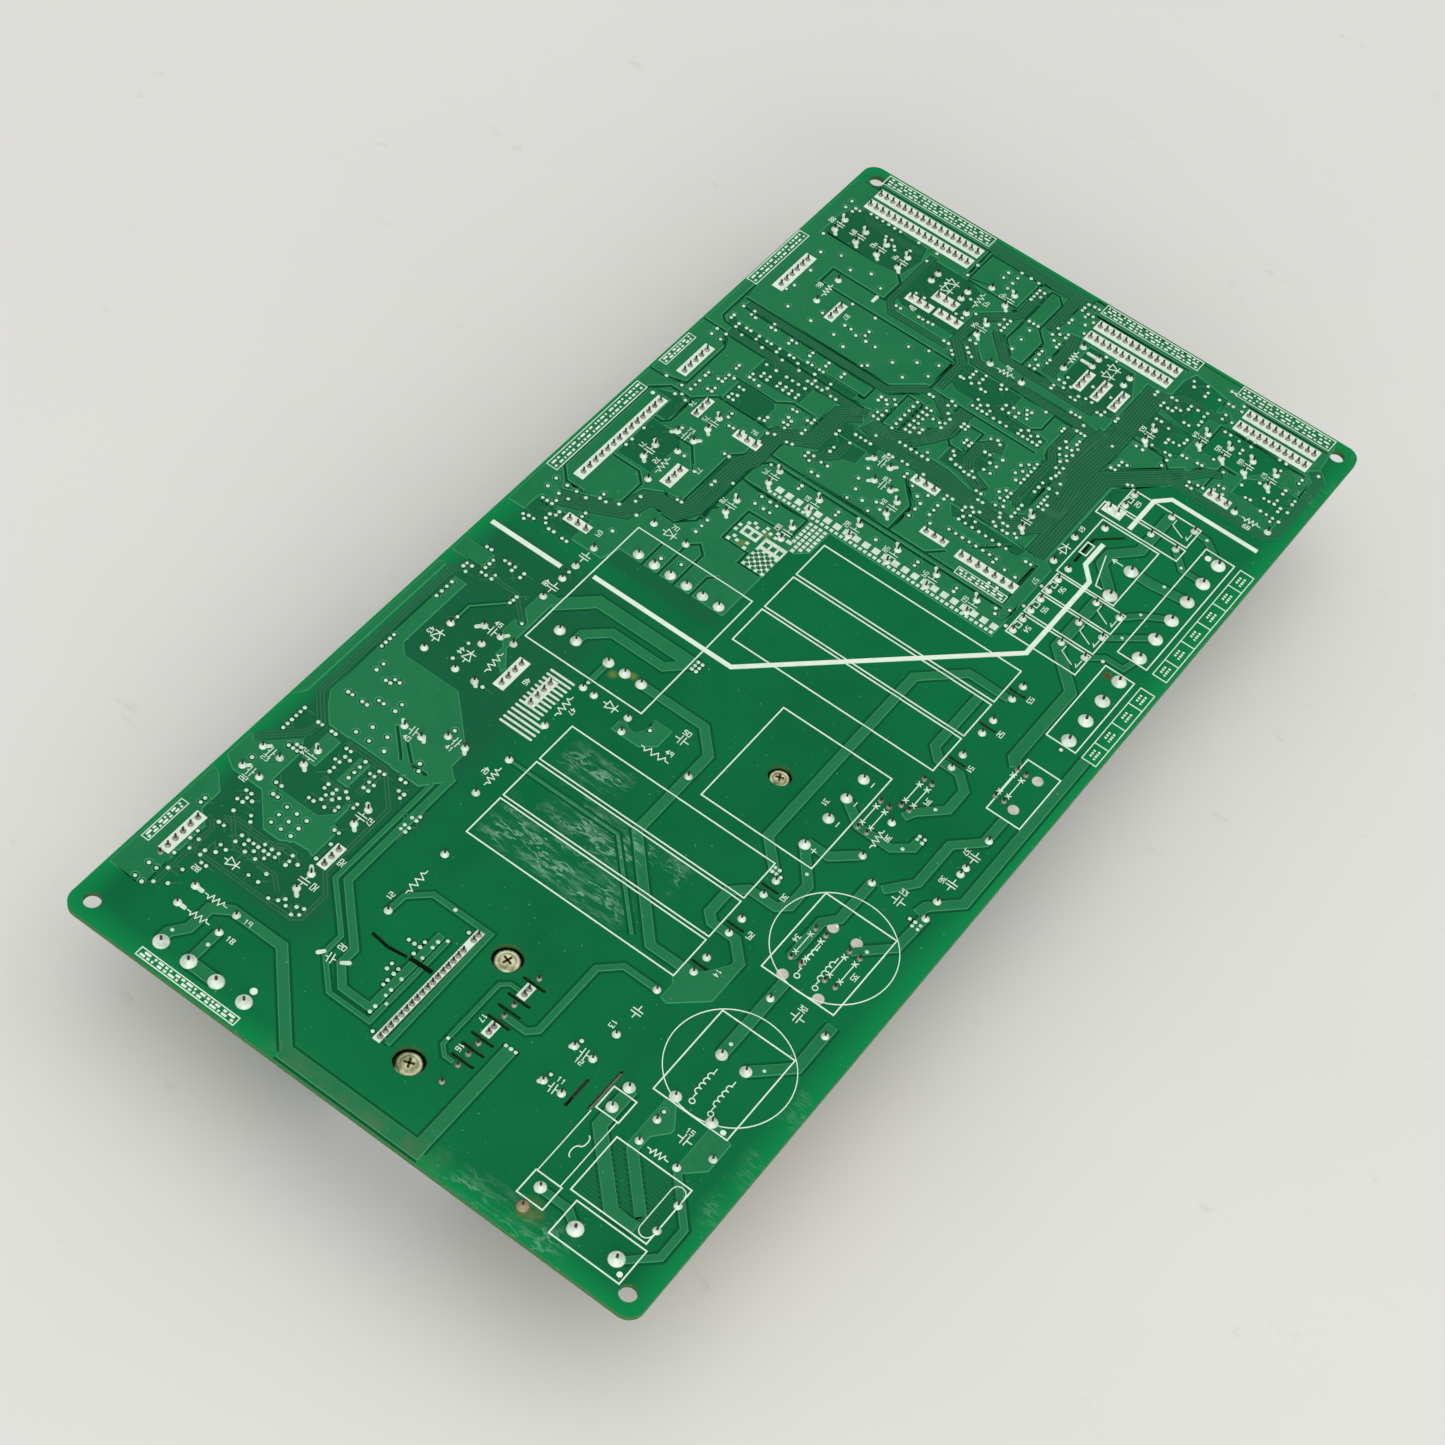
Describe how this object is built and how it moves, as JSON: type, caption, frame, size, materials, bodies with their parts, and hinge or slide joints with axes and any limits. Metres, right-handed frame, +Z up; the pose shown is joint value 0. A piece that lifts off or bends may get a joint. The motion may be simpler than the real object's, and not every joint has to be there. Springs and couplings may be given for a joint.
{
  "type": "refrigerator control board",
  "caption": "Long rectangular circuit board with soldered pins and printed outlines above and power parts, relays and connectors below; drives a refrigerator's compressor and loads.",
  "frame": {"origin": "centre of the board in plan, on the surface that its tallest parts lie on", "axes": "+X along the board's long side away from the AC inlet, +Y along its short side, +Z up out of the solder side"},
  "size_m": [0.322, 0.158, 0.0385],
  "materials": {
    "laminate": "glossy green solder mask",
    "legend": "matt white print",
    "solder": "bright tinned",
    "black_epoxy": "moulded, matt",
    "sink": "extruded",
    "brass_screw": "pale yellow zinc plate",
    "ferrite": "sintered, dark grey",
    "black_plastic": "moulded",
    "tape": "wound tape",
    "copper_wire": "enamelled copper",
    "ceramic": "ceramic",
    "tinned_metal": "tinned",
    "blue_coating": "dipped coat",
    "film_case": "moulded box",
    "resistor_paint": "lacquer",
    "can_sleeve": "shrunk sleeve",
    "ceramic_coat": "dipped coat",
    "chip": "sintered",
    "relay_case": "moulded case",
    "connector_nylon": "moulded nylon"
  },
  "bodies": {
    "root": {"circuit_board": "laminate", "legend_print": "legend", "power_joints": "solder", "lead_joints": "solder", "header_joints": "solder", "flat_pads": "solder", "power_module": "black_epoxy", "module_heat_sink": "sink", "module_screws": "brass_screw", "bridge_rectifier": "black_epoxy", "bridge_heat_sink": "sink", "bridge_screw": "brass_screw", "bulk_capacitor_1": "can_sleeve", "bulk_capacitor_2": "can_sleeve", "bulk_capacitor_3": "can_sleeve", "bulk_capacitor_4": "can_sleeve", "bulk_capacitor_5": "can_sleeve", "bulk_capacitor_6": "can_sleeve", "transformer_core": "ferrite", "transformer_bobbin": "black_plastic", "transformer_winding": "tape", "choke_core": "ferrite", "choke_base": "black_plastic", "choke_windings": "copper_wire", "fuse_tube": "ceramic", "fuse_caps": "tinned_metal", "fuse_clips": "tinned_metal", "varistor": "blue_coating", "film_capacitors": "film_case", "disc_capacitors": "blue_coating", "slim_relay_1": "relay_case", "slim_relay_2": "relay_case", "slim_relay_3": "relay_case", "slim_relay_4": "relay_case", "power_relay": "black_plastic", "solid_state_relay": "black_plastic", "ac_inlet": "connector_nylon", "compressor_connector": "connector_nylon", "load_connector_4": "connector_nylon", "load_connector_6": "connector_nylon", "power_pins": "tinned_metal", "header_34": "connector_nylon", "header_26": "connector_nylon", "header_22": "connector_nylon", "header_14": "connector_nylon", "header_7": "connector_nylon", "header_6": "connector_nylon", "header_6_wide": "connector_nylon", "header_5": "connector_nylon", "header_pins": "tinned_metal", "wire_jumpers": "tinned_metal", "axial_resistors": "resistor_paint", "axial_diodes": "black_epoxy", "radial_capacitors": "can_sleeve", "ceramic_capacitors": "ceramic_coat", "small_transistors": "black_epoxy", "supply_ic": "black_epoxy", "controller_ics": "black_epoxy", "driver_ics": "black_epoxy", "chip_passives": "chip"}
  },
  "joints": []
}
